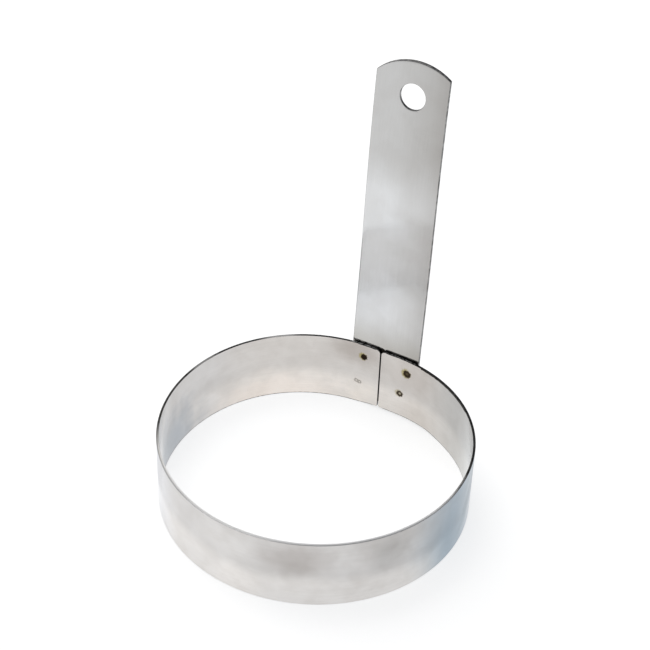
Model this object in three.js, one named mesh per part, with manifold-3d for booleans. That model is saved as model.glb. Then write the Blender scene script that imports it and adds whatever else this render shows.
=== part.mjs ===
// Egg ring: a strip of thin stainless steel rolled into a ring, and a flat strip handle spot welded
// over the open seam at the back. Millimetres, +Z up, the handle at +Y. While the pieces are made, the
// axis of the ring's round part is X = 0, Y = 0, and its lower edge is at Z = 0.

import * as THREE from 'three';
import { mergeVertices } from 'three/addons/utils/BufferGeometryUtils.js';
import Module from 'manifold-3d';

// Ring band
const ringDiameter = 101.6; // outside, across the round part
const bandHeight = 25.4;
const bandThickness = 0.8;
const seatHalfWidth = 5; // half of the flat that the band's ends make at the handle
const seatPress = 3.54; // how far that flat lies inside the full circle
const seamGap = 0.4; // open joint between the two ends
const seamOffset = -1.4; // the seam's place across, from the middle of the handle
const endCornerRadius = 1.2; // rounding of the corners at the two ends

// Handle strip
const handleWidth = 25;
const handleThickness = 1;
const footRise = 2.5; // the foot stops this far above the ring's lower edge
const footCornerRadius = 2.5;
const bendDrop = 3; // the bend starts this far below the rim
const bendRadius = 20; // inside the bend, at the back of the strip
const leanAngle = THREE.MathUtils.degToRad(4.6);
const handleTilt = THREE.MathUtils.degToRad(0.6); // the strip is welded on slightly askew, to the left
const bladeLength = 108.2; // from the end of the bend to the crown of the arched end
const tipCrown = 4.6; // rise of the arched end over its two corners
const tipSkew = THREE.MathUtils.degToRad(5.7); // the end was sheared a little off square
const holeDiameter = 8.75;
const holeFromTip = 11.7; // from the crown to the middle of the hang hole
const holeOffset = 0.6; // the hole's place across, from the middle of the strip

// Spot welds
const lapGap = 0.3; // gap between band and foot, bridged by the weld nuggets
const nuggetDiameter = 2.4;
const electrodeDiameter = 2.6; // shallow round marks that the welding tips leave
const electrodeDepth = 0.15;
const weldSpots = [
  // side of the seam, inset from that edge of the handle, drop below the rim
  { name: 'spot_weld_upper_left', side: -1, inset: 4.9, drop: 5.1 },
  { name: 'spot_weld_lower_left', side: -1, inset: 3.2, drop: 16.4 },
  { name: 'spot_weld_upper_right', side: 1, inset: 3.6, drop: 5.5 },
  { name: 'spot_weld_lower_right', side: 1, inset: 5.8, drop: 15.1 },
];

// Facets, and how far a cutter runs past what it cuts
const arcSegments = 32;
const holeSegments = 24;
const weldSegments = 24;
const bendSegments = 4;
const cutMargin = 2;

// Worked out from the sizes above
const quarterTurn = Math.PI / 2;
const ringRadius = ringDiameter / 2;
const seatY = ringRadius - seatPress; // outside face of the flat
const blendRadius = (ringRadius ** 2 - seatY ** 2 - seatHalfWidth ** 2) / (2 * seatPress);
const blendCentreY = seatY - blendRadius;
const footFaceY = seatY + lapGap; // front face of the foot
const handleHalf = handleWidth / 2;
const bendZ = bandHeight - bendDrop;
const bendCentre = new THREE.Vector2(footFaceY + handleThickness + bendRadius, bendZ);
const frontBendRadius = bendRadius + handleThickness;
const bladeStart = new THREE.Vector3(
  0,
  bendCentre.x - frontBendRadius * Math.cos(leanAngle),
  bendCentre.y + frontBendRadius * Math.sin(leanAngle),
);
const bladeUp = new THREE.Vector3(0, Math.sin(leanAngle), Math.cos(leanAngle));
const bladeFront = new THREE.Vector3(0, -Math.cos(leanAngle), Math.sin(leanAngle));
const tiltOnRim = new THREE.Matrix4().makeRotationY(-handleTilt); // about the middle of the strip at the rim
tiltOnRim.premultiply(new THREE.Matrix4().makeTranslation(0, 0, bandHeight));
tiltOnRim.multiply(new THREE.Matrix4().makeTranslation(0, 0, -bandHeight));

const wasm = await Module();
wasm.setup();

function solidOf(geometry) {
  const bare = geometry.clone();
  bare.deleteAttribute('normal');
  bare.deleteAttribute('uv');
  const merged = mergeVertices(bare, 1e-4);
  return new wasm.Manifold(new wasm.Mesh({
    numProp: 3,
    vertProperties: new Float32Array(merged.attributes.position.array),
    triVerts: new Uint32Array(merged.index.array),
  }));
}

function geometryOf(solid) {
  const mesh = solid.getMesh();
  const geometry = new THREE.BufferGeometry();
  geometry.setAttribute('position', new THREE.BufferAttribute(mesh.vertProperties, 3));
  geometry.setIndex(new THREE.BufferAttribute(mesh.triVerts, 1));
  geometry.computeVertexNormals();
  return geometry;
}

function extrude(shape, depth, segments = arcSegments) {
  return new THREE.ExtrudeGeometry(shape, { depth, bevelEnabled: false, curveSegments: segments });
}

// A shape drawn across (X) and up (Z), cut straight through from front to back between two Y values
function cutAlongY(shape, nearY, farY) {
  return solidOf(extrude(shape, farY - nearY).rotateX(quarterTurn).translate(0, farY, 0));
}

// A shape drawn in the plane of the leaning blade, across it and up from the end of the bend, cut
// straight through the blade
function cutThroughBlade(shape) {
  const depth = handleThickness + 2 * cutMargin;
  const place = new THREE.Matrix4()
    .makeBasis(new THREE.Vector3(1, 0, 0), bladeUp, bladeFront)
    .setPosition(bladeStart);
  const geometry = extrude(shape, depth, holeSegments).translate(0, 0, cutMargin - depth);
  return solidOf(geometry.applyMatrix4(place));
}

function steelMesh(name, geometry, color, roughness) {
  const mesh = new THREE.Mesh(geometry, new THREE.MeshStandardMaterial({ color, roughness, metalness: 1 }));
  mesh.name = name;
  return mesh;
}

// Plan of the band at a depth below its outside: the flat seat at the back, an arc on each side of it,
// and the round part, all tangent
function drawPlan(path, depth) {
  const turn = Math.atan2(seatHalfWidth, blendCentreY);
  const back = quarterTurn;
  path.moveTo(seatHalfWidth, seatY - depth);
  path.lineTo(-seatHalfWidth, seatY - depth);
  path.absarc(-seatHalfWidth, blendCentreY, blendRadius - depth, back, back + turn);
  path.absarc(0, 0, ringRadius - depth, back + turn, back - turn + 4 * quarterTurn);
  path.absarc(seatHalfWidth, blendCentreY, blendRadius - depth, back - turn, back);
  return path;
}

// How far back the outside of the band lies at a place across
function wallY(x) {
  const past = Math.max(Math.abs(x) - seatHalfWidth, 0);
  return blendCentreY + Math.sqrt(blendRadius ** 2 - past ** 2);
}

// The open seam, with the rounded corners of both ends at its top and bottom
function seamShape() {
  const edge = seamGap / 2;
  const corner = edge + endCornerRadius;
  const low = endCornerRadius;
  const high = bandHeight - endCornerRadius;
  const shape = new THREE.Shape();
  shape.moveTo(seamOffset - corner, bandHeight + cutMargin);
  shape.absarc(seamOffset - corner, high, endCornerRadius, quarterTurn, 0, true);
  shape.absarc(seamOffset - corner, low, endCornerRadius, 0, -quarterTurn, true);
  shape.lineTo(seamOffset - corner, -cutMargin);
  shape.lineTo(seamOffset + corner, -cutMargin);
  shape.absarc(seamOffset + corner, low, endCornerRadius, -quarterTurn, -2 * quarterTurn, true);
  shape.absarc(seamOffset + corner, high, endCornerRadius, 2 * quarterTurn, quarterTurn, true);
  shape.lineTo(seamOffset + corner, bandHeight + cutMargin);
  return shape;
}

const weldPlaces = weldSpots.map(({ name, side, inset, drop }) => ({
  name,
  x: side * (handleHalf - inset),
  z: bandHeight - drop,
}));

function electrodeMark(place, nearY, farY) {
  const disc = new THREE.CylinderGeometry(
    electrodeDiameter / 2, electrodeDiameter / 2, farY - nearY, weldSegments,
  );
  return solidOf(disc.translate(place.x, (nearY + farY) / 2, place.z));
}

function makeRingBand() {
  const plan = drawPlan(new THREE.Shape(), 0);
  plan.holes.push(drawPlan(new THREE.Path(), bandThickness));
  let band = solidOf(extrude(plan, bandHeight));
  band = band.subtract(cutAlongY(seamShape(), 0, ringRadius));
  for (const place of weldPlaces) {
    const innerY = wallY(place.x) - bandThickness;
    band = band.subtract(electrodeMark(place, innerY - cutMargin, innerY + electrodeDepth));
  }
  return geometryOf(band);
}

// Side view of the strip, back (Y) and up (Z): the upright foot, the bend and the leaning blade
function handleProfile() {
  const top = bladeLength + cutMargin;
  const upright = 2 * quarterTurn; // from the bend's centre towards the foot
  const leaning = upright - leanAngle;
  const profile = new THREE.Shape();
  profile.moveTo(footFaceY, footRise);
  profile.absarc(bendCentre.x, bendCentre.y, frontBendRadius, upright, leaning, true);
  const frontTop = bladeStart.clone().addScaledVector(bladeUp, top);
  const backTop = frontTop.clone().addScaledVector(bladeFront, -handleThickness);
  profile.lineTo(frontTop.y, frontTop.z);
  profile.lineTo(backTop.y, backTop.z);
  profile.absarc(bendCentre.x, bendCentre.y, bendRadius, leaning, upright, false);
  profile.lineTo(footFaceY + handleThickness, footRise);
  return profile;
}

// What is sheared off above the arched end: the arc runs from corner to corner of the skewed end
function tipWaste() {
  const cornerLine = bladeLength - tipCrown; // middle of the line between the corners
  const rise = handleHalf * Math.tan(tipSkew);
  const halfChord = handleHalf / Math.cos(tipSkew);
  const radius = (halfChord ** 2 + tipCrown ** 2) / (2 * tipCrown);
  const below = radius - tipCrown;
  const centre = new THREE.Vector2(below * Math.sin(tipSkew), cornerLine - below * Math.cos(tipSkew));
  const right = Math.atan2(cornerLine + rise - centre.y, handleHalf - centre.x);
  const left = Math.atan2(cornerLine - rise - centre.y, -handleHalf - centre.x);
  const top = bladeLength + 2 * cutMargin;
  const shape = new THREE.Shape();
  shape.moveTo(handleHalf + cutMargin, cornerLine + rise);
  shape.lineTo(handleHalf + cutMargin, top);
  shape.lineTo(-handleHalf - cutMargin, top);
  shape.lineTo(-handleHalf - cutMargin, cornerLine - rise);
  shape.absarc(centre.x, centre.y, radius, left, right, true);
  return shape;
}

function hangHole() {
  const shape = new THREE.Shape();
  shape.absarc(holeOffset, bladeLength - holeFromTip, holeDiameter / 2, 0, 4 * quarterTurn);
  return shape;
}

// What is cut off the foot's lower corner on one side, -1 for left and 1 for right
function footCornerWaste(side) {
  const inner = side * (handleHalf - footCornerRadius);
  const outer = side * (handleHalf + cutMargin);
  const low = footRise - cutMargin;
  const high = footRise + footCornerRadius;
  const shape = new THREE.Shape();
  shape.moveTo(inner, low);
  shape.lineTo(outer, low);
  shape.lineTo(outer, high);
  if (side > 0) shape.absarc(inner, high, footCornerRadius, 0, -quarterTurn, true);
  else shape.absarc(inner, high, footCornerRadius, 2 * quarterTurn, 3 * quarterTurn, false);
  return shape;
}

function makeHandle() {
  const footBackY = footFaceY + handleThickness;
  const across = new THREE.Matrix4().makeBasis(
    new THREE.Vector3(0, 1, 0), new THREE.Vector3(0, 0, 1), new THREE.Vector3(1, 0, 0),
  ).setPosition(-handleHalf, 0, 0);
  let strip = solidOf(extrude(handleProfile(), handleWidth, bendSegments).applyMatrix4(across));
  strip = strip.subtract(cutThroughBlade(tipWaste()));
  strip = strip.subtract(cutThroughBlade(hangHole()));
  for (const side of [-1, 1]) {
    strip = strip.subtract(cutAlongY(footCornerWaste(side), footFaceY - cutMargin, footBackY + cutMargin));
  }
  strip = strip.transform(tiltOnRim.elements);
  for (const place of weldPlaces) {
    strip = strip.subtract(electrodeMark(place, footBackY - electrodeDepth, footBackY + cutMargin));
  }
  return geometryOf(strip);
}

function makeNugget(place) {
  const nugget = steelMesh(
    place.name,
    new THREE.CylinderGeometry(nuggetDiameter / 2, nuggetDiameter / 2, lapGap, weldSegments),
    0x8c8478,
    0.55,
  );
  nugget.position.set(place.x, seatY + lapGap / 2, place.z);
  return nugget;
}

const eggRing = new THREE.Group();
eggRing.add(steelMesh('ring_band', makeRingBand(), 0xcfcfcd, 0.32));
eggRing.add(steelMesh('handle', makeHandle(), 0xc6c6c6, 0.36));
for (const place of weldPlaces) eggRing.add(makeNugget(place));

// The origin is on the surface that the ring stands on, in the middle of the object's outline
const outline = new THREE.Box3().setFromObject(eggRing);
eggRing.position.y = -(outline.min.y + outline.max.y) / 2;

export default eggRing;
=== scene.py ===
import math

import bmesh
import bpy
from mathutils import Matrix, Vector


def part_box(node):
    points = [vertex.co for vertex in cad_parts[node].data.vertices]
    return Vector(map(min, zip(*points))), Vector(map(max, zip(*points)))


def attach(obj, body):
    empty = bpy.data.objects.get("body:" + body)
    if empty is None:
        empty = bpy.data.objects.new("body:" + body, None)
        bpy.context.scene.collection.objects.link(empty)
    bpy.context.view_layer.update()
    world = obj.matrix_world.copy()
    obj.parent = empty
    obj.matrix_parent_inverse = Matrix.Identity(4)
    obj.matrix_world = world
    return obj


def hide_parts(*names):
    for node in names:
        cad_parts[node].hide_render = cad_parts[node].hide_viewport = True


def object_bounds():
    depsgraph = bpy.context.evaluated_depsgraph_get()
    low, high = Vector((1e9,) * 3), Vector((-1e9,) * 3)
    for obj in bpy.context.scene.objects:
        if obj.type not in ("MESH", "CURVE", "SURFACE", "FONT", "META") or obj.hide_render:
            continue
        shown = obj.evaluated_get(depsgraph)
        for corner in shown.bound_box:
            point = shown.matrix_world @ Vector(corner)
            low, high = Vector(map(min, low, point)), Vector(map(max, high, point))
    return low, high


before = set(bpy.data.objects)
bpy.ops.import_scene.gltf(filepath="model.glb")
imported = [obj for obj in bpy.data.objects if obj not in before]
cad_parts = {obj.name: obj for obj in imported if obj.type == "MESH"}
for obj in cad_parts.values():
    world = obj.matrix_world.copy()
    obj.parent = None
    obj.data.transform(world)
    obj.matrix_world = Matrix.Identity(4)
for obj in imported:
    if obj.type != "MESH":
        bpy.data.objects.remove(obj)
cadLow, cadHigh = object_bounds()
mm = 0.001
touching = 0.01 * mm  # what lies this close together is taken as in line
right, back, up = Vector((1, 0, 0)), Vector((0, 1, 0)), Vector((0, 0, 1))
boxSides = [round(side / mm, 1) for side in cadHigh - cadLow]
print("frame loaded:", len(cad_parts), "nodes, box", boxSides, "mm")


# Node helpers
def node(tree, kind, **values):
    made = tree.nodes.new(kind)
    for name, value in values.items():
        setattr(made, name, value)
    return made


def feed(tree, socket, value):
    if isinstance(value, bpy.types.NodeSocket):
        tree.links.new(value, socket)
    elif isinstance(value, tuple) and len(socket.default_value) == 4:
        socket.default_value = (*value, 1)
    else:
        socket.default_value = value


def math2(tree, operation, first, second):
    made = node(tree, "ShaderNodeMath", operation=operation)
    feed(tree, made.inputs[0], first)
    feed(tree, made.inputs[1], second)
    return made.outputs[0]


def ramp(tree, source, lowFrom, highFrom, lowTo=0.0, highTo=1.0):
    made = node(tree, "ShaderNodeMapRange", interpolation_type="SMOOTHSTEP")
    for socket, value in zip(made.inputs, (source, lowFrom, highFrom, lowTo, highTo)):
        feed(tree, socket, value)
    return made.outputs["Result"]


def tinted(tree, mask, under, over, blend="MIX"):
    made = node(tree, "ShaderNodeMix", data_type="RGBA", blend_type=blend)
    feed(tree, made.inputs["Factor"], mask)
    feed(tree, made.inputs[6], under)
    feed(tree, made.inputs[7], over)
    return made.outputs[2]


def bumped(tree, height, distance, normal=None):
    made = node(tree, "ShaderNodeBump")
    made.inputs["Distance"].default_value = distance
    feed(tree, made.inputs["Height"], height)
    if normal is not None:
        feed(tree, made.inputs["Normal"], normal)
    return made.outputs["Normal"]


def newGroup(name, inputs, outputs):
    tree = bpy.data.node_groups.new(name, "ShaderNodeTree")
    for label, kind in inputs:
        tree.interface.new_socket(label, in_out="INPUT", socket_type="NodeSocket" + kind)
    for label in outputs:
        tree.interface.new_socket(label, in_out="OUTPUT", socket_type="NodeSocketFloat")
    return tree, node(tree, "NodeGroupInput").outputs, node(tree, "NodeGroupOutput").inputs


def place(tree, group, vector, values):
    made = node(tree, "ShaderNodeGroup", node_tree=group)
    feed(tree, made.inputs["Vector"], vector)
    for name, value in values.items():
        made.inputs[name].default_value = value
    return made.outputs


def newMetal(name):
    material = bpy.data.materials.new(name)
    material.use_nodes = True
    tree = material.node_tree
    shader = tree.nodes["Principled BSDF"]
    shader.inputs["Metallic"].default_value = 1
    return material, tree, shader.inputs, node(tree, "ShaderNodeTexCoord").outputs["Object"]


noiseMiddle = (0.25, 0.75)  # nearly all of a noise's values lie in here
grainMiddle = (0.3, 0.7)  # from the darkest to the lightest lines of the grain
waveMiddle = 0.5  # what the slow waves come to on average


# Fine lines that rolling or shearing leaves, drawn out by the stretch
def makeGrain():
    tree, given, result = newGroup("grain", [("Vector", "Vector"), ("Stretch", "Vector")], ["Line"])
    spread = node(tree, "ShaderNodeVectorMath", operation="MULTIPLY")
    feed(tree, spread.inputs[0], given["Vector"])
    feed(tree, spread.inputs[1], given["Stretch"])
    noise = node(tree, "ShaderNodeTexNoise")
    noise.inputs["Scale"].default_value = 1
    noise.inputs["Detail"].default_value = 4
    noise.inputs["Roughness"].default_value = 0.65
    feed(tree, noise.inputs["Vector"], spread.outputs[0])
    feed(tree, result["Line"], noise.outputs["Fac"])
    return tree


# Soft clouds of handling marks, smaller blotches, and the slow waves of a sheet that isn't quite flat
handlingMarks = {
    "Cloud": {"detail": 5, "distortion": 0.6, "shows": (0.46, 0.72)},  # stretch of the noise that shows
    "Blotch": {"detail": 4, "distortion": 0.3, "shows": (0.36, 0.66)},
    "Wave": {"detail": 1, "distortion": 0, "shows": None},
}


def makeHandling():
    inputs = [("Vector", "Vector")] + [(label + " Scale", "Float") for label in handlingMarks]
    tree, given, result = newGroup("handling", inputs, list(handlingMarks))
    for label, mark in handlingMarks.items():
        noise = node(tree, "ShaderNodeTexNoise")
        noise.inputs["Detail"].default_value = mark["detail"]
        noise.inputs["Distortion"].default_value = mark["distortion"]
        feed(tree, noise.inputs["Vector"], given["Vector"])
        feed(tree, noise.inputs["Scale"], given[label + " Scale"])
        amount = noise.outputs["Fac"]
        if mark["shows"]:
            amount = ramp(tree, amount, *mark["shows"])
        feed(tree, result[label], amount)
    return tree


# Ragged factor that strays from 1 by its spread and keeps marks from looking drawn with a compass
def unevenness(tree, vector, ragged):
    noise = node(tree, "ShaderNodeTexNoise")
    noise.inputs["Scale"].default_value = ragged["scale"]
    noise.inputs["Detail"].default_value = 3
    feed(tree, noise.inputs["Vector"], vector)
    return ramp(tree, noise.outputs["Fac"], *noiseMiddle, 1 - ragged["spread"], 1 + ragged["spread"])


# A soft patch that fades out between two shares of its reach along each axis, with a ragged edge; it
# carries painted light and shade, and one real smudge
patchEdge = {"fades": (0.2, 1.0), "scale": 160, "spread": 0.17}


def makePatch():
    tree, given, result = newGroup(
        "softPatch", [("Vector", "Vector"), ("Centre", "Vector"), ("Reach", "Vector")], ["Amount"])
    away = node(tree, "ShaderNodeVectorMath", operation="SUBTRACT")
    feed(tree, away.inputs[0], given["Vector"])
    feed(tree, away.inputs[1], given["Centre"])
    share = node(tree, "ShaderNodeVectorMath", operation="DIVIDE")
    feed(tree, share.inputs[0], away.outputs[0])
    feed(tree, share.inputs[1], given["Reach"])
    length = node(tree, "ShaderNodeVectorMath", operation="LENGTH")
    feed(tree, length.inputs[0], share.outputs[0])
    uneven = unevenness(tree, given["Vector"], patchEdge)
    ragged = math2(tree, "MULTIPLY", length.outputs["Value"], uneven)
    feed(tree, result["Amount"], ramp(tree, ragged, *patchEdge["fades"], 1.0, 0.0))
    return tree


# Heat colours round one spot weld: a burnt core that may spare its middle, and a straw halo that lies
# a little to one side
heatRings = {
    "burnt": (0.75, 1.1),  # where each fades out, in shares of the mark's radius
    "spared": (0.15, 0.48),
    "straw": (0.8, 1.45),
    "scale": 1300,  # of their ragged edges
    "spread": 0.15,
}


def makeWeldTint():
    tree, given, result = newGroup(
        "weldTint",
        [("Vector", "Vector"), ("Centre", "Vector"), ("Halo Centre", "Vector"), ("Radius", "Float"),
         ("Burn", "Float"), ("Hollow", "Float"), ("Straw", "Float")],
        ["Core", "Halo"])
    uneven = unevenness(tree, given["Vector"], heatRings)

    def shareOf(middle):
        gap = node(tree, "ShaderNodeVectorMath", operation="DISTANCE")
        feed(tree, gap.inputs[0], given["Vector"])
        feed(tree, gap.inputs[1], given[middle])
        return math2(tree, "MULTIPLY", math2(tree, "DIVIDE", gap.outputs["Value"], given["Radius"]), uneven)

    across = shareOf("Centre")
    burnt = math2(tree, "MULTIPLY", ramp(tree, across, *heatRings["burnt"], 1.0, 0.0), given["Burn"])
    spared = math2(tree, "MULTIPLY", ramp(tree, across, *heatRings["spared"], 1.0, 0.0), given["Hollow"])
    feed(tree, result["Core"], math2(tree, "MULTIPLY", burnt, math2(tree, "SUBTRACT", 1.0, spared)))
    straw = ramp(tree, shareOf("Halo Centre"), *heatRings["straw"], 1.0, 0.0)
    feed(tree, result["Halo"], math2(tree, "MULTIPLY", straw, given["Straw"]))
    return tree


grain = makeGrain()
handling = makeHandling()
softPatch = makePatch()
weldTint = makeWeldTint()
print("surface groups built")


# Spot welds, as their marks look on the inside of the ring. The tips struck at places measured from the
# middle of the weld, and hollow is how much of the burnt core's middle they spared
spotWelds = {
    "upper_left": {"radius": 1.3 * mm, "dish": 0.1 * mm, "burn": 1.0, "hollow": 0.0, "straw": 0.8,
                   "strikes": [Vector((0, 0, 0))]},
    "lower_left": {"radius": 0.85 * mm, "dish": 0.06 * mm, "burn": 0.45, "hollow": 1.0, "straw": 0.05,
                   "strikes": [Vector((0.5, 0, -0.15)) * mm, Vector((-0.7, 0, 0.2)) * mm]},
    "upper_right": {"radius": 1.6 * mm, "dish": 0.12 * mm, "burn": 0.97, "hollow": 0.15, "straw": 0.8,
                    "strikes": [Vector((0, 0, 0))]},
    "lower_right": {"radius": 1.3 * mm, "dish": 0.1 * mm, "burn": 0.94, "hollow": 0.8, "straw": 0.5,
                    "strikes": [Vector((0, 0, 0))]},
}
weldLook = {
    "haloShift": Vector((-0.35, 0, 0.1)) * mm,
    "lip": 0.2,  # raised lip round a mark, as a share of its dish
    "lipAt": 1.15,  # middle and width of the lip, in shares of the mark's radius
    "lipWidth": 0.2,
    "pressReach": 2.2,  # the sheet is level again past this share of the radius
    "burnt": (0.03, 0.018, 0.01),
    "straw": (0.33, 0.28, 0.09),
}
shadeScorchLook = {  # painted shade, with some scorching, in the lap, along the ring's rim and lower edge, and on the foot's front
    "colour": (0.025, 0.022, 0.018),
    "edge": (0.35, 0.65),
    "scale": 800,  # of its ragged edge
    "spread": 0.4,
    "rough": 0.35,  # roughness that scorching adds
}
for weldName, mark in spotWelds.items():
    weldLow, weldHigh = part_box("spot_weld_" + weldName)
    mark["centre"] = (weldLow + weldHigh) / 2
    mark["nugget"] = (weldHigh.x - weldLow.x) / 2


# How far a mark sinks at a distance from its middle
def dishAt(distance, mark):
    share = distance / mark["radius"]
    bowl = max(1 - share**2, 0)
    lip = weldLook["lip"] * math.exp(-((share - weldLook["lipAt"]) / weldLook["lipWidth"]) ** 2)
    return mark["dish"] * (bowl - lip)


def pressMarks(verts, direction):
    for mark in spotWelds.values():
        for vert in verts:
            across = math.hypot(vert.co.x - mark["centre"].x, vert.co.z - mark["centre"].z)
            if across < weldLook["pressReach"] * mark["radius"]:
                vert.co.y += direction * dishAt(across, mark)


# Share from 0 to 1 along a direction, between two places that drift with the waves of the sheet
def shareAlong(tree, spot, fade, wave=waveMiddle):
    reach = node(tree, "ShaderNodeVectorMath", operation="DOT_PRODUCT")
    feed(tree, reach.inputs[0], spot)
    feed(tree, reach.inputs[1], fade["along"])
    drift = math2(tree, "MULTIPLY", math2(tree, "SUBTRACT", wave, waveMiddle), fade["drift"])
    return ramp(tree, math2(tree, "ADD", reach.outputs["Value"], drift), fade["from"], fade["to"])


def patchAt(tree, spot, patch):
    return place(tree, softPatch, spot, {"Centre": patch["centre"], "Reach": patch["reach"]})["Amount"]


# Sheet steel with its grain, handling marks, slow waves and the heat of the welds on one face, and painted
# light and shade: fades, patches and sheen that stand in for reflections, and dark shade in the lap and
# along the edges, there with some scorching
def steelSheet(name, look, weldFaceY):
    material, tree, shader, spot = newMetal(name)
    line = place(tree, grain, spot, {"Stretch": look["stretch"]})["Line"]
    marks = place(tree, handling, spot, {
        "Cloud Scale": look["cloudScale"],
        "Blotch Scale": look["blotchScale"],
        "Wave Scale": look["waveScale"],
    })
    steel = tinted(tree, ramp(tree, line, *grainMiddle), look["dark"], look["light"])
    for kind in ("Cloud", "Blotch"):
        amount = math2(tree, "MULTIPLY", marks[kind], look[kind.lower()])
        steel = tinted(tree, amount, steel, look["smudge"], "MULTIPLY")
    inside = node(tree, "ShaderNodeAttribute", attribute_name="inside").outputs["Fac"]
    sides = {"inside": inside, "outside": math2(tree, "SUBTRACT", 1.0, inside), "both": 1.0}
    # painted light and shade from the fades and patches; one of the ring's patches is a real smudge
    for fade in look["fades"]:
        amount = math2(tree, "MULTIPLY", shareAlong(tree, spot, fade, marks["Wave"]), sides[fade["side"]])
        steel = tinted(tree, amount, steel, fade["tint"], "MULTIPLY")
    for patch in look["patches"]:
        amount = math2(tree, "MULTIPLY", patchAt(tree, spot, patch), sides[patch["side"]])
        steel = tinted(tree, amount, steel, patch["tint"], "MULTIPLY")
    # painted sheen, lighter inside at the front left
    if "paintedSheen" in look:
        amount = math2(tree, "MULTIPLY", shareAlong(tree, spot, look["paintedSheen"], marks["Wave"]), inside)
        steel = tinted(tree, amount, steel, look["paintedSheen"]["colour"])
    core, halo = 0.0, 0.0
    for mark in spotWelds.values():
        middle = Vector((mark["centre"].x, weldFaceY(mark["centre"].x), mark["centre"].z))
        for strike in mark["strikes"]:
            heat = place(tree, weldTint, spot, {
                "Centre": middle + strike,
                "Halo Centre": middle + strike + weldLook["haloShift"],
                "Radius": mark["radius"],
                "Burn": mark["burn"],
                "Hollow": mark["hollow"],
                "Straw": mark["straw"],
            })
            core = math2(tree, "MAXIMUM", heat["Core"], core)
            halo = math2(tree, "MAXIMUM", heat["Halo"], halo)
    steel = tinted(tree, halo, steel, weldLook["straw"])
    steel = tinted(tree, core, steel, weldLook["burnt"])
    # painted shade, with some scorching, where the attribute marks the lap and the edges
    shadeAndScorch = node(tree, "ShaderNodeAttribute", attribute_name="shadeAndScorch").outputs["Fac"]
    shadeAndScorch = math2(tree, "MULTIPLY", shadeAndScorch, unevenness(tree, spot, shadeScorchLook))
    shadeAndScorch = ramp(tree, shadeAndScorch, *shadeScorchLook["edge"])
    feed(tree, shader["Base Color"], tinted(tree, shadeAndScorch, steel, shadeScorchLook["colour"]))
    rough = ramp(tree, line, *grainMiddle, *look["rough"])
    rough = math2(tree, "ADD", rough, math2(tree, "MULTIPLY", marks["Cloud"], look["cloudRough"]))
    scorchedShaded = math2(tree, "MULTIPLY", math2(tree, "MAXIMUM", core, shadeAndScorch), shadeScorchLook["rough"])
    feed(tree, shader["Roughness"], math2(tree, "ADD", rough, scorchedShaded))
    wavy = bumped(tree, marks["Wave"], look["wave"])
    feed(tree, shader["Normal"], bumped(tree, line, look["grain"], wavy))
    return material


# Sheared edges are rough, with short tears across the sheet, and their dark colour is painted shade.
# Painted highlights, partly wear, leave them pale, with a greyer corner
def shearedEdge(name, look, sheenAndWear=None):
    material, tree, shader, spot = newMetal(name)
    tear = place(tree, grain, spot, {"Stretch": look["stretch"]})["Line"]
    colour = tinted(tree, ramp(tree, tear, *look["tearShows"]), look["dark"], look["light"])
    if sheenAndWear:
        paleShare = shareAlong(tree, spot, sheenAndWear["fade"])
        inside = node(tree, "ShaderNodeAttribute", attribute_name="inside").outputs["Fac"]
        flecks = ramp(tree, tear, *sheenAndWear["fleckShows"])
        flecks = math2(tree, "MULTIPLY", flecks, ramp(tree, inside, *sheenAndWear["fleckEnds"], 1.0, 0.0))
        for patch in sheenAndWear["patches"]:
            amount = math2(tree, "MULTIPLY", patchAt(tree, spot, patch), patch["share"])
            if patch["flecked"]:
                amount = math2(tree, "MULTIPLY", amount, flecks)
            paleShare = math2(tree, "MAXIMUM", paleShare, amount)
        brightFront = sheenAndWear["brightFront"]
        corner = tinted(tree, patchAt(tree, spot, brightFront), sheenAndWear["corner"], brightFront["corner"])
        pale = tinted(tree, ramp(tree, inside, *sheenAndWear["cornerEnds"]), corner, sheenAndWear["flat"])
        colour = tinted(tree, paleShare, colour, pale)
        feed(tree, shader["Metallic"], math2(tree, "SUBTRACT", 1.0, paleShare))
    feed(tree, shader["Base Color"], colour)
    feed(tree, shader["Roughness"], ramp(tree, tear, *grainMiddle, *look["rough"]))
    feed(tree, shader["Normal"], bumped(tree, tear, look["tears"]))
    return material


# Smooth step from 0 to 1
def ease(share):
    held = min(max(share, 0), 1)
    return held * held * (3 - 2 * held)


sideways = 0.5  # cosine that parts the sheared faces from the two faces of the sheet
facingUp = 0.3  # a sheared face that looks up more than this is on the rim


# Gives an open sheet its thickness and marks the sheared faces
def thicken(bm, thickness, facing):
    bmesh.ops.recalc_face_normals(bm, faces=bm.faces[:])
    bm.faces.ensure_lookup_table()
    if bm.faces[0].normal.dot(facing(bm.faces[0].calc_center_median())) < 0:
        bmesh.ops.reverse_faces(bm, faces=bm.faces[:])
    bmesh.ops.solidify(bm, geom=bm.faces[:], thickness=thickness)
    bm.normal_update()
    for face in bm.faces:
        face.material_index = int(abs(face.normal.dot(facing(face.calc_center_median()))) < sideways)


# Takes the sharpness off the edges of the sheared faces
def breakEdges(bm, width):
    corners = [e for e in bm.edges if len({f.material_index for f in e.link_faces}) == 2]
    broken = bmesh.ops.bevel(
        bm, geom=corners, offset=width, segments=2, profile=0.5, affect="EDGES", material=-1)
    for face in broken["faces"]:
        face.material_index = 1


def finishPiece(name, bm, materials, slot, *nodes):
    for face in bm.faces:
        face.smooth = True
    mesh = bpy.data.meshes.new(name)
    bm.to_mesh(mesh)
    bm.free()
    piece = bpy.data.objects.new(name, mesh)
    bpy.context.scene.collection.objects.link(piece)
    for material in materials:
        mesh.materials.append(material)
    weighted = piece.modifiers.new("even shading", "WEIGHTED_NORMAL")
    weighted.weight = 100
    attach(piece, "root")
    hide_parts(*nodes)
    print(name, len(mesh.polygons), "faces")


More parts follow.
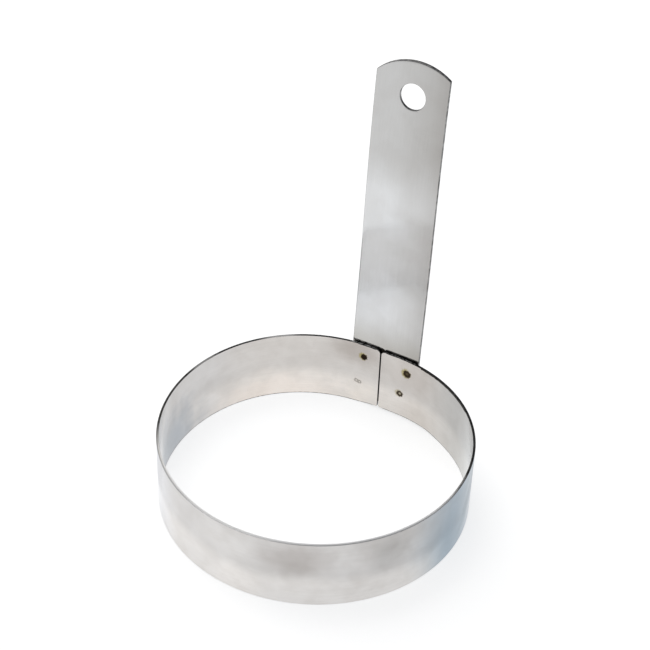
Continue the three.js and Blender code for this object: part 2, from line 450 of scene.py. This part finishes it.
# Ring band
ringBand = {
    "diameter": 101.6 * mm,
    "wall": 0.8 * mm,
    "seatHalf": 5 * mm,  # half of the flat that the two ends make
    "seamGap": 0.4 * mm,
    "seamX": -1.4 * mm,
    "endRound": 0.6 * mm,  # lower and upper corners of the two ends
    "endRoundTop": 1.5 * mm,
    "endFlap": 1.6 * mm,  # stretch of each end that holds its corners
    "endSpare": 0.4 * mm,  # the painted shade lines stop this far before the flaps
    "edgeBreak": 0.08 * mm,
    "rollOver": 0.18 * mm,  # the shears drew the outer corner of the rim down, most of all at the front
    "rollStart": 0 * mm,  # it starts at this place front to back, and is full after its reach
    "rollReach": 25 * mm,
    "lift": 0.75 * mm,  # the lower edge isn't level: it rises right of the seam
    "liftMiddle": 8 * mm,
    "liftHalf": 9 * mm,
    "liftFade": 10 * mm,
    "shadeLine": 0.15 * mm,  # painted shade: dark lines along the lower edge and the back of the rim, inside
    "shadeLineX": -10 * mm,
    "shadeLineY": -12 * mm,
    "wideShadeLine": 0.45 * mm,  # the line is wider to the right of the handle
    "wideShadeLineX": 14 * mm,
    "wideShadeLineY": 30 * mm,
    "lapHalf": 11.8 * mm,  # painted shade, with some scorching, on the stretch in front of the handle's foot
    "lapLow": 3.8 * mm,
    "lapDrop": 0.5 * mm,  # it stops this far below the rim
    "innerShare": 0.75,  # what lies deeper than this share of the wall takes the weld marks
    "rows": 68,
    "rightSteps": 12,  # across the flat, either side of the seam
    "leftSteps": 6,
    "weldTurn": math.radians(13),  # stretch of each side arc that carries welds, in finer steps
    "fineSteps": 28,
    "sideSteps": 30,
    "roundSteps": 120,
}
ringLow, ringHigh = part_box("ring_band")
ringRadius = ringBand["diameter"] / 2
ringAxisY = ringLow.y + ringRadius
seatDepth = ringHigh.y - ringAxisY
sideRadius = (ringRadius**2 - seatDepth**2 - ringBand["seatHalf"] ** 2) / (2 * (ringRadius - seatDepth))
sideY = ringHigh.y - sideRadius  # centres of the arcs beside the flat
sideTurn = math.atan2(ringBand["seatHalf"], sideY - ringAxisY)


def outward(co):
    return Vector((co.x, co.y - ringAxisY, 0)).normalized()


# Outside of the band at a place across
def bandBackAt(x):
    past = max(abs(x) - ringBand["seatHalf"], 0)
    return sideY + math.sqrt(sideRadius**2 - past**2)


# How far the lower edge rises at a place across
def liftAt(x):
    past = (abs(x - ringBand["liftMiddle"]) - ringBand["liftHalf"]) / ringBand["liftFade"]
    return ringBand["lift"] * (1 - ease(past))


def slide(bm, row, reach, steps):
    moved = bmesh.ops.spin(bm, geom=row, dvec=(reach / steps, 0, 0), axis=(0, 0, 1), steps=steps)
    return moved["geom_last"]


def turn(bm, row, x, y, angle, steps):
    moved = bmesh.ops.spin(bm, geom=row, cent=(x, y, 0), axis=(0, 0, 1), angle=-angle, steps=steps)
    return moved["geom_last"]


# One end of the strip: its flap becomes a single face with rounded corners
def roundEnd(bm, seamX, flapX):
    middle = (seamX + flapX) / 2
    flap = []
    for face in bm.faces:
        centre = face.calc_center_median()
        if abs(centre.x - middle) < touching and centre.y > ringAxisY:
            flap.append(face)
    bmesh.ops.dissolve_faces(bm, faces=flap)
    end = [v for v in bm.verts if abs(v.co.x - seamX) < touching and v.co.y > ringAxisY]
    end.sort(key=lambda v: v.co.z)
    bmesh.ops.dissolve_verts(bm, verts=end[1:-1])
    for corner, reach in ((end[0], ringBand["endRound"]), (end[-1], ringBand["endRoundTop"])):
        bmesh.ops.bevel(
            bm, geom=[corner], offset=reach, segments=6, profile=0.5, affect="VERTICES", material=-1)


def makeRing():
    size = ringBand
    flat = size["seatHalf"]
    rightEnd = size["seamX"] + size["seamGap"] / 2
    leftEnd = size["seamX"] - size["seamGap"] / 2
    rightFlap = rightEnd + size["endFlap"]
    leftFlap = leftEnd - size["endFlap"]
    weldTurn = size["weldTurn"]
    bm = bmesh.new()
    bottom = bm.verts.new((rightEnd, ringHigh.y, ringLow.z))
    top = bm.verts.new((rightEnd, ringHigh.y, ringHigh.z))
    bmesh.ops.subdivide_edges(bm, edges=[bm.edges.new((bottom, top))], cuts=size["rows"] - 1)
    row = bm.verts[:] + bm.edges[:]
    row = slide(bm, row, size["endFlap"], 1)
    row = slide(bm, row, flat - rightFlap, size["rightSteps"])
    row = turn(bm, row, flat, sideY, weldTurn, size["fineSteps"])
    row = turn(bm, row, flat, sideY, sideTurn - weldTurn, size["sideSteps"])
    row = turn(bm, row, 0, ringAxisY, 2 * (math.pi - sideTurn), size["roundSteps"])
    row = turn(bm, row, -flat, sideY, sideTurn - weldTurn, size["sideSteps"])
    row = turn(bm, row, -flat, sideY, weldTurn, size["fineSteps"])
    row = slide(bm, row, leftFlap + flat, size["leftSteps"])
    slide(bm, row, size["endFlap"], 1)
    roundEnd(bm, rightEnd, rightFlap)
    roundEnd(bm, leftEnd, leftFlap)
    thicken(bm, size["wall"], outward)
    for vert in bm.verts:
        rise = max([f.normal.z for f in vert.link_faces if f.material_index == 1], default=0)
        outer = any(f.normal.dot(outward(vert.co)) > sideways for f in vert.link_faces)
        if outer and rise > facingUp:
            drawn = min(max((size["rollStart"] - vert.co.y) / size["rollReach"], 0), 1)
            vert.co.z -= size["rollOver"] * rise * drawn
        if vert.co.y > ringAxisY:
            vert.co.z += liftAt(vert.co.x) * (ringHigh.z - vert.co.z) / (ringHigh.z - ringLow.z)
    breakEdges(bm, size["edgeBreak"])
    innerY = ringHigh.y - size["innerShare"] * size["wall"]
    pressMarks([v for v in bm.verts if ringAxisY < v.co.y < innerY], 1)
    # painted shade, with some scorching, in the lap, and painted shade lines along the lower edge and the
    # back of the rim inside
    shadeAndScorch = bm.verts.layers.float.new("shadeAndScorch")
    inside = bm.verts.layers.float.new("inside")
    for vert in bm.verts:
        x, y, z = vert.co
        nearBack = y > ringAxisY and abs(x) < ringRadius * math.sin(sideTurn)
        depth = bandBackAt(x) - y if nearBack else ringRadius - math.hypot(x, y - ringAxisY)
        within = depth > size["wall"] / 2
        vert[inside] = float(within)
        atEnds = y > ringAxisY and abs(x - size["seamX"]) < size["endFlap"] + size["endSpare"]
        lift = liftAt(x) if y > ringAxisY else 0
        low = z < ringLow.z + lift + size["shadeLine"]
        wide = x > size["wideShadeLineX"] and y > size["wideShadeLineY"]
        shadeLineTop = ringHigh.z - (size["wideShadeLine"] if wide else size["shadeLine"])
        high = z > shadeLineTop and x > size["shadeLineX"] and y > size["shadeLineY"]
        level = ringLow.z + size["lapLow"] < z < ringHigh.z - size["lapDrop"]
        scorchedShaded = level and abs(x) < size["lapHalf"] and y > ringAxisY and not within
        vert[shadeAndScorch] = float(scorchedShaded or (within and (low or high) and not atEnds))
    return bm


ringLook = {
    "dark": (0.725, 0.707, 0.69),
    "light": (0.755, 0.737, 0.72),
    "smudge": (0.9, 0.89, 0.88),
    "stretch": Vector((60, 60, 2600)),  # lines run round the band
    "rough": (0.14, 0.17),
    "cloudScale": 42.0,
    "cloud": 0.6,
    "cloudRough": 0.1,
    "blotchScale": 150.0,
    "blotch": 0.55,
    "waveScale": 32.0,
    "wave": 0.06 * mm,
    "grain": 0.0003 * mm,
    # painted light and shade standing in for reflections: darker over the upper band, bluish shade at the
    # right end outside, a lighter bluish reflection at the left end outside, a darker inner right wall with
    # a lighter stripe near its end, and a warmer back wall inside
    "fades": [
        {"side": "both", "along": up, "from": 8 * mm, "to": 14 * mm, "drift": 5 * mm,
         "tint": (0.84, 0.845, 0.855)},
        {"side": "outside", "along": Vector((0.97, 0.242, 0)), "from": 37 * mm, "to": 50 * mm,
         "drift": 6 * mm, "tint": (0.42, 0.54, 0.65)},
        {"side": "outside", "along": -right, "from": 22 * mm, "to": 45 * mm, "drift": 6 * mm,
         "tint": (1.01, 1.07, 1.17)},
        {"side": "inside", "along": right, "from": 14 * mm, "to": 34 * mm, "drift": 8 * mm,
         "tint": (0.75, 0.77, 0.78)},
        {"side": "inside", "along": right, "from": 32 * mm, "to": 46 * mm, "drift": 2 * mm,
         "tint": (1.22, 1.27, 1.31)},
        {"side": "inside", "along": back, "from": 5 * mm, "to": 30 * mm, "drift": 8 * mm,
         "tint": (1.0, 0.98, 0.955)},
    ],
    # painted highlights and shade standing in for reflections of the floor, all but the first, which is a
    # darker smudge on the front of the band
    "patches": [
        {"side": "outside", "centre": Vector((20, -50, 19)) * mm, "reach": Vector((15, 12, 10)) * mm,
         "tint": (0.815, 0.795, 0.785)},
        {"side": "outside", "centre": Vector((-3, -54, 19)) * mm, "reach": Vector((15, 8, 12)) * mm,
         "tint": (1.08, 1.08, 1.075)},
        {"side": "outside", "centre": Vector((43, -30, 23)) * mm, "reach": Vector((18, 22, 9)) * mm,
         "tint": (0.85, 0.845, 0.84)},
        {"side": "outside", "centre": Vector((48.5, -17, 3)) * mm, "reach": Vector((8, 11, 9)) * mm,
         "tint": (1.15, 1.13, 1.11)},
        {"side": "outside", "centre": Vector((42.5, -31, 17)) * mm, "reach": Vector((10, 11, 11)) * mm,
         "tint": (0.82, 0.82, 0.82)},
        {"side": "outside", "centre": Vector((0, -54, 3)) * mm, "reach": Vector((14, 10, 9)) * mm,
         "tint": (1.09, 1.085, 1.08)},
        {"side": "inside", "centre": Vector((-34, 30, 1)) * mm, "reach": Vector((42, 26, 12)) * mm,
         "tint": (1.18, 1.145, 1.12)},
        {"side": "inside", "centre": Vector((-10, 43, 22)) * mm, "reach": Vector((11, 10, 8)) * mm,
         "tint": (0.81, 0.785, 0.77)},
        {"side": "inside", "centre": Vector((-8, 46, 4)) * mm, "reach": Vector((9, 9, 7)) * mm,
         "tint": (1.14, 1.135, 1.12)},
        {"side": "inside", "centre": Vector((14, 44, 3)) * mm, "reach": Vector((13, 10, 9)) * mm,
         "tint": (0.88, 0.865, 0.85)},
        {"side": "inside", "centre": Vector((13, 44, 21)) * mm, "reach": Vector((15, 10, 13)) * mm,
         "tint": (0.88, 0.86, 0.845)},
        {"side": "inside", "centre": Vector((-48, -15, 4)) * mm, "reach": Vector((14, 27, 18)) * mm,
         "tint": (0.58, 0.63, 0.69)},
    ],
    "paintedSheen": {"along": Vector((-0.6, -0.8, 0)), "from": 44 * mm, "to": 48 * mm, "drift": 3 * mm,
               "colour": (0.87, 0.86, 0.855)},  # painted sheen: lighter inside, at the front left, standing in for light reflected there
}
# near black: painted shade on the ring's sheared faces, with their real tears
ringEdgeLook = {
    "dark": (0.015, 0.015, 0.015),
    "light": (0.06, 0.06, 0.06),
    "stretch": Vector((900, 900, 200)),
    "tearShows": (0.35, 0.7),  # from the darkest to the lightest tears
    "rough": (0.44, 0.34),
    "tears": 0.02 * mm,
}
# painted highlights along the rim, partly wear: a pale flat with a greyer corner, paler towards the front
# and in patches
rimSheenAndWear = {
    "flat": (0.95, 0.95, 0.945),
    "corner": (0.5, 0.5, 0.5),
    "cornerEnds": (0.3, 0.55),  # where the corner gives way to the flat, as a share of the wall
    "fleckShows": (0.42, 0.56),  # stretch of the tears that leaves flecks
    "fleckEnds": (0.75, 0.95),  # where the flecks give out, as a share of the wall
    "brightFront": {"centre": Vector((-2, -54, 25.4)) * mm, "reach": Vector((29, 25, 20)) * mm,
               "corner": (0.9, 0.9, 0.89)},  # painted highlight: the corner is bright too at the front
    "fade": {"along": back, "from": -24 * mm, "to": -48 * mm, "drift": 0},
    "patches": [
        {"centre": Vector((50, -25, 25.4)) * mm, "reach": Vector((60, 34, 20)) * mm, "share": 1.0,
         "flecked": False},
        {"centre": Vector((-8.5, 43.4, 25.4)) * mm, "reach": Vector((7, 4, 4)) * mm, "share": 0.6,
         "flecked": True},
        {"centre": Vector((6, 43.2, 25.4)) * mm, "reach": Vector((9, 4, 4)) * mm, "share": 0.4,
         "flecked": True},
        {"centre": Vector((-35, 33, 25.4)) * mm, "reach": Vector((8, 8, 4)) * mm, "share": 0.4,
         "flecked": False},
        {"centre": Vector((-49, 7, 25.4)) * mm, "reach": Vector((6, 8, 4)) * mm, "share": 0.2,
         "flecked": False},
    ],
}
ringSteel = steelSheet("ring_steel", ringLook, lambda x: bandBackAt(x) - ringBand["wall"])
ringEdge = shearedEdge("ring_edge", ringEdgeLook, rimSheenAndWear)
finishPiece("ring", makeRing(), [ringSteel, ringEdge], "ring_steel", "ring_band")


# Handle strip
handleStrip = {
    "width": 25 * mm,
    "thickness": 1 * mm,
    "footRise": 2.5 * mm,
    "footRound": 2.5 * mm,
    "bendDrop": 3 * mm,  # the bend starts this far below the rim
    "bendRadius": 20 * mm,
    "lean": math.radians(4.6),  # backwards, above the bend
    "tilt": math.radians(0.6),  # welded on slightly askew, to the left
    "bladeLength": 108.2 * mm,
    "tipCrown": 4.6 * mm,
    "tipSkew": math.radians(5.7),
    "holeDiameter": 8.75 * mm,
    "holeDrop": 11.7 * mm,  # from the crown of the tip
    "holeX": 0.6 * mm,
    "press": 0.2 * mm,  # the welds draw the foot forward this far, against the band
    "hug": 0.6,  # share of the band's curve that the foot's sides follow
    "hugFade": 40 * mm,  # height over the rim at which the strip is flat again
    "bow": 0.8 * mm,  # the blade bulges forward this far, two thirds of the way up
    "shadeDrop": 0.3 * mm,  # painted shade, with some scorching, starts this far below the rim, and is full after its fade
    "shadeFade": 0.7 * mm,
    "seamShade": 1.8,  # painted shade that the open seam adds, and how far to either side
    "seamReach": 3.2 * mm,
    "edgeBreak": 0.12 * mm,
    "backShare": 0.25,  # what lies deeper than this share of the thickness is on the back
    "columns": 50,
    "holeCell": 20,  # columns and rows of the square round the hole
    "cornerSteps": 8,
    "footStep": 0.4 * mm,  # heights of the rows, from the foot up
    "bendStep": 0.25 * mm,
    "rimStep": 0.3 * mm,
    "rimRise": 2 * mm,  # fine rows go this far over the rim
    "bladeStep": 2 * mm,
    "tipStep": 1 * mm,
}
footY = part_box("handle")[0].y
footLow = ringLow.z + handleStrip["footRise"]
handleHalf = handleStrip["width"] / 2
lean = handleStrip["lean"]
frontBend = handleStrip["bendRadius"] + handleStrip["thickness"]
bendY = footY + frontBend
bendZ = ringHigh.z - handleStrip["bendDrop"]
bladeFlat = bendZ + frontBend * lean  # where the blade starts on the flat strip
bladeStart = Vector((0, bendY - frontBend * math.cos(lean), bendZ + frontBend * math.sin(lean)))
crownFlat = bladeFlat + handleStrip["bladeLength"]
holeFlat = crownFlat - handleStrip["holeDrop"]


def rowsBetween(low, high, step):
    count = max(round((high - low) / step), 1)
    return [low + (high - low) * (k + 1) / count for k in range(count)]


# Height of the arched tip on the flat strip, at a place across
def tipAt(x):
    skew = handleStrip["tipSkew"]
    crown = handleStrip["tipCrown"]
    halfChord = handleHalf / math.cos(skew)
    radius = (halfChord**2 + crown**2) / (2 * crown)
    below = radius - crown
    centreZ = crownFlat - crown - below * math.cos(skew)
    return centreZ + math.sqrt(radius**2 - (x - below * math.sin(skew)) ** 2)


# How far the strip comes forward against the band, more so at its sides
def hugAt(x, z):
    held = 1 - ease((z - ringHigh.z) / handleStrip["hugFade"])
    return held * (handleStrip["press"] + handleStrip["hug"] * (ringHigh.y - bandBackAt(x)))


# How far the blade bulges forward at a height on the flat strip
def bowAt(z):
    share = min(max((z - bladeFlat) / handleStrip["bladeLength"], 0), 1)
    bulge = 27 / 4 * share**2 * (1 - share)  # 1 where it is highest
    return handleStrip["bow"] * bulge


# Painted shade, with some scorching, on the front of the foot, more of it at the open seam
def shadeScorchAt(x, z):
    level = (ringHigh.z - handleStrip["shadeDrop"] - z) / handleStrip["shadeFade"]
    nearSeam = max(1 - abs(x - ringBand["seamX"]) / handleStrip["seamReach"], 0)
    return min(max(level + handleStrip["seamShade"] * nearSeam, 0), 1)


# The flat strip is folded at the bend, measured along its front
def fold(co):
    depth = co.y - footY
    if co.z > bladeFlat:
        rise = co.z - bladeFlat
        sine, cosine = math.sin(lean), math.cos(lean)
        return bladeStart + Vector((co.x, rise * sine + depth * cosine, rise * cosine - depth * sine))
    angle = max(co.z - bendZ, 0) / frontBend
    radius = frontBend - depth
    return Vector((
        co.x, bendY - radius * math.cos(angle), min(co.z, bendZ) + radius * math.sin(angle)))


def makeHandle():
    size = handleStrip
    pitch = size["width"] / size["columns"]
    cellHalf = size["holeCell"] * pitch / 2
    cellX = round(size["holeX"] / pitch) * pitch
    cellTop = holeFlat + cellHalf
    corner = size["footRound"]
    fineTop = ringHigh.z + size["rimRise"]
    rows = []  # height and half width of each row on the flat strip
    for k in range(size["cornerSteps"] + 1):
        angle = math.pi / 2 * k / size["cornerSteps"]
        rows.append((footLow + corner * (1 - math.cos(angle)), handleHalf - corner * (1 - math.sin(angle))))
    heights = rowsBetween(footLow + corner, bendZ, size["footStep"])
    heights += rowsBetween(bendZ, bladeFlat, size["bendStep"])
    heights += rowsBetween(bladeFlat, fineTop, size["rimStep"])
    heights += rowsBetween(fineTop, holeFlat - cellHalf, size["bladeStep"])
    heights += rowsBetween(holeFlat - cellHalf, cellTop, pitch)
    heights += rowsBetween(cellTop, crownFlat, size["tipStep"])
    rows += [(z, handleHalf) for z in heights]
    bm = bmesh.new()
    footEnds = [bm.verts.new((side * rows[0][1], footY, rows[0][0])) for side in (-1, 1)]
    bmesh.ops.subdivide_edges(bm, edges=[bm.edges.new(footEnds)], cuts=size["columns"] - 1)
    edges = bm.edges[:]
    for (z, half), (nextZ, nextHalf) in zip(rows, rows[1:]):
        grown = bmesh.ops.extrude_edge_only(bm, edges=edges)["geom"]
        verts = [g for g in grown if isinstance(g, bmesh.types.BMVert)]
        bmesh.ops.translate(bm, verts=verts, vec=(0, 0, nextZ - z))
        bmesh.ops.scale(bm, verts=verts, vec=(nextHalf / half, 1, 1))
        edges = [g for g in grown if isinstance(g, bmesh.types.BMEdge) and all(v in verts for v in g.verts)]
    for vert in bm.verts:
        if vert.co.z > cellTop + touching:
            share = (vert.co.z - cellTop) / (crownFlat - cellTop)
            vert.co.z = cellTop + share * (tipAt(vert.co.x) - cellTop)

    def inCell(face):
        middle = face.calc_center_median()
        return max(abs(middle.x - cellX), abs(middle.z - holeFlat)) < cellHalf

    cell = [f for f in bm.faces if inCell(f)]
    cellRim = [e for e in bm.edges if sum(inCell(f) for f in e.link_faces) == 1]
    bmesh.ops.delete(bm, geom=cell, context="FACES")
    centre = Vector((size["holeX"], footY, holeFlat))
    grown = bmesh.ops.extrude_edge_only(bm, edges=cellRim)["geom"]
    for vert in [g for g in grown if isinstance(g, bmesh.types.BMVert)]:
        vert.co = centre + (vert.co - centre).normalized() * size["holeDiameter"] / 2
    thicken(bm, size["thickness"], lambda co: -back)
    breakEdges(bm, size["edgeBreak"])
    # painted shade, with some scorching, on the foot's front
    shadeAndScorch = bm.verts.layers.float.new("shadeAndScorch")
    for vert in bm.verts:
        x, y, z = vert.co
        if y < footY + size["thickness"] / 2:
            vert[shadeAndScorch] = shadeScorchAt(x, z)
        vert.co = fold(vert.co)
        vert.co.y -= hugAt(x, z) + bowAt(z)
    askew = Matrix.Rotation(-size["tilt"], 3, "Y")
    bmesh.ops.rotate(bm, verts=bm.verts[:], cent=(0, 0, ringHigh.z), matrix=askew)
    backY = footY + size["backShare"] * size["thickness"]
    pressMarks([v for v in bm.verts if v.co.y > backY and v.co.z < bendZ and v.normal.y > 0], -1)
    return bm


handleLook = {
    "dark": (0.67, 0.68, 0.69),
    "light": (0.695, 0.705, 0.715),
    "smudge": (0.92, 0.91, 0.9),
    "stretch": Vector((2600, 60, 60)),  # lines run up the strip
    "rough": (0.09, 0.12),
    "cloudScale": 38.0,
    "cloud": 0.5,
    "cloudRough": 0.06,
    "blotchScale": 130.0,
    "blotch": 0.45,
    "waveScale": 30.0,
    "wave": 0.05 * mm,
    "grain": 0.0002 * mm,
    # painted shade standing in for reflections: darker to the right, darker towards the top, and darker and
    # browner towards the foot, there partly heat tint from the welds
    "fades": [
        {"side": "both", "along": right, "from": -8 * mm, "to": 12 * mm, "drift": 10 * mm,
         "tint": (0.8, 0.785, 0.77)},
        {"side": "both", "along": right, "from": 6 * mm, "to": 13 * mm, "drift": 3 * mm,
         "tint": (0.91, 0.905, 0.9)},
        {"side": "both", "along": up, "from": 82 * mm, "to": 103 * mm, "drift": 12 * mm,
         "tint": (0.79, 0.78, 0.765)},
        {"side": "both", "along": up, "from": 38 * mm, "to": 27 * mm, "drift": 8 * mm,
         "tint": (0.78, 0.76, 0.72)},
    ],
    # painted highlights: lighter where the blade mirrors the inside of the ring
    "patches": [
        {"side": "both", "centre": Vector((-3, 50, 45)) * mm, "reach": Vector((14, 12, 13)) * mm,
         "tint": (1.09, 1.095, 1.105)},
        {"side": "both", "centre": Vector((0, 51, 73)) * mm, "reach": Vector((12, 12, 8)) * mm,
         "tint": (1.05, 1.055, 1.06)},
    ],
}
handleSteel = steelSheet("handle_steel", handleLook, lambda x: footY + handleStrip["thickness"])
# dark grey: painted shade on the handle's sheared faces, with their real tears
handleEdgeLook = {
    "dark": (0.1, 0.1, 0.1),
    "light": (0.33, 0.33, 0.33),
    "stretch": Vector((700, 150, 700)),
    "tearShows": (0.35, 0.7),
    "rough": (0.44, 0.34),
    "tears": 0.02 * mm,
}
handleEdge = shearedEdge("handle_edge", handleEdgeLook)
finishPiece("handle_strip", makeHandle(), [handleSteel, handleEdge], "handle_steel", "handle")


# Weld nuggets between band and foot
weldNugget = {
    "sink": 0.04 * mm,  # how far it runs into the band and the foot
    "shoulder": 0.9,  # width of its ends, as a share of its middle
    "steps": 32,
}
nuggetLook = {
    "dark": (0.06, 0.045, 0.03),
    "light": (0.3, 0.25, 0.18),
    "stretch": Vector((1500, 1500, 1500)),
    "rough": (0.65, 0.5),
    "pits": 0.03 * mm,
}


def nuggetSteel(look):
    material, tree, shader, spot = newMetal("weld_steel")
    speck = place(tree, grain, spot, {"Stretch": look["stretch"]})["Line"]
    colour = tinted(tree, ramp(tree, speck, *grainMiddle), look["dark"], look["light"])
    feed(tree, shader["Base Color"], colour)
    feed(tree, shader["Roughness"], ramp(tree, speck, *grainMiddle, *look["rough"]))
    feed(tree, shader["Normal"], bumped(tree, speck, look["pits"]))
    return material


def makeNugget(mark):
    centre = mark["centre"]
    front = bandBackAt(centre.x) - weldNugget["sink"]
    rear = footY + weldNugget["sink"]
    radius = mark["nugget"]
    shoulder = weldNugget["shoulder"] * radius
    outline = [(0, front), (shoulder, front), (radius, (front + rear) / 2), (shoulder, rear), (0, rear)]
    bm = bmesh.new()
    verts = [bm.verts.new((centre.x + across, y, centre.z)) for across, y in outline]
    for first, second in zip(verts, verts[1:]):
        bm.edges.new((first, second))
    bmesh.ops.spin(
        bm, geom=bm.verts[:] + bm.edges[:], cent=centre, axis=back, angle=2 * math.pi,
        steps=weldNugget["steps"], use_merge=True)
    bmesh.ops.remove_doubles(bm, verts=bm.verts[:], dist=touching)
    bmesh.ops.recalc_face_normals(bm, faces=bm.faces[:])
    return bm


nuggetMetal = nuggetSteel(nuggetLook)
for weldName, mark in spotWelds.items():
    nugget = makeNugget(mark)
    finishPiece("weld_nugget_" + weldName, nugget, [nuggetMetal], "weld_steel", "spot_weld_" + weldName)


# Floor, light and camera
stage = {
    "floorSide": 12.0,
    "floorColour": (0.54, 0.54, 0.54),
    "floorLift": 0.74,  # glow that only the camera and the steel see, so that the floor is white
    "roomColour": (0.06, 0.06, 0.065),
    "mirroredRoom": (0.2, 0.2, 0.21),  # the room as the steel reflects it
    "backdrop": (1, 1, 1),  # what the camera sees past the floor
}


def makeFloor():
    bm = bmesh.new()
    bmesh.ops.create_grid(bm, x_segments=1, y_segments=1, size=stage["floorSide"] / 2)
    mesh = bpy.data.meshes.new("floor")
    bm.to_mesh(mesh)
    bm.free()
    floor = bpy.data.objects.new("floor", mesh)
    bpy.context.scene.collection.objects.link(floor)
    material = bpy.data.materials.new("floor_paper")
    material.use_nodes = True
    tree = material.node_tree
    tree.nodes.clear()
    paper = node(tree, "ShaderNodeBsdfDiffuse")
    feed(tree, paper.inputs["Color"], stage["floorColour"])
    rays = node(tree, "ShaderNodeLightPath").outputs
    seen = math2(tree, "MAXIMUM", rays["Is Camera Ray"], rays["Is Glossy Ray"])
    seen = math2(tree, "MAXIMUM", seen, rays["Is Transmission Ray"])
    lift = node(tree, "ShaderNodeEmission")
    feed(tree, lift.inputs["Strength"], math2(tree, "MULTIPLY", seen, stage["floorLift"]))
    both = node(tree, "ShaderNodeAddShader")
    feed(tree, both.inputs[0], paper.outputs[0])
    feed(tree, both.inputs[1], lift.outputs[0])
    feed(tree, node(tree, "ShaderNodeOutputMaterial").inputs["Surface"], both.outputs[0])
    mesh.materials.append(material)


softboxes = {
    "key": {"at": Vector((-0.7, 0.3, 0.95)), "side": 1.2, "watts": 8.0, "colour": (1, 0.975, 0.94)},
    "fill": {"at": Vector((0.9, -0.2, 0.7)), "side": 0.7, "watts": 1.6, "colour": (0.84, 0.92, 1)},
    "top": {"at": Vector((-0.1, -0.1, 1.6)), "side": 1.3, "watts": 5.5, "colour": (0.97, 0.985, 1)},
}


def makeLights():
    world = bpy.data.worlds.new("studio")
    world.use_nodes = True
    tree = world.node_tree
    rays = node(tree, "ShaderNodeLightPath").outputs
    room = tinted(tree, rays["Is Glossy Ray"], stage["roomColour"], stage["mirroredRoom"])
    background = tree.nodes["Background"].inputs
    feed(tree, background["Color"], tinted(tree, rays["Is Camera Ray"], room, stage["backdrop"]))
    bpy.context.scene.world = world
    middle = (cadLow + cadHigh) / 2
    for name, box in softboxes.items():
        lamp = bpy.data.lights.new(name, "AREA")
        lamp.shape = "SQUARE"
        lamp.size = box["side"]
        lamp.energy = box["watts"]
        lamp.color = box["colour"]
        holder = bpy.data.objects.new(name, lamp)
        holder.location = box["at"]
        holder.rotation_euler = (middle - box["at"]).to_track_quat("-Z", "Y").to_euler()
        bpy.context.scene.collection.objects.link(holder)


photoCamera = {
    "at": Vector((195.2, -365.99, 392.38)) * mm,
    "azimuth": 28.108,  # degrees; 0 looks along +Y
    "elevation": 38.323,
    "roll": 2.28,
    "lens": 95.825,
    "shift": (0.001, 0.0066),
}


def makeCamera():
    data = bpy.data.cameras.new("camera")
    data.lens = photoCamera["lens"]
    data.shift_x, data.shift_y = photoCamera["shift"]
    camera = bpy.data.objects.new("camera", data)
    heading = Matrix.Rotation(math.radians(photoCamera["azimuth"]), 4, "Z")
    tilt = Matrix.Rotation(math.radians(90 - photoCamera["elevation"]), 4, "X")
    roll = Matrix.Rotation(math.radians(photoCamera["roll"]), 4, "Z")
    camera.matrix_world = Matrix.Translation(photoCamera["at"]) @ heading @ tilt @ roll
    bpy.context.scene.collection.objects.link(camera)
    bpy.context.scene.camera = camera


makeFloor()
makeLights()
makeCamera()
bpy.context.scene.view_settings.view_transform = "Standard"
print("stage set")
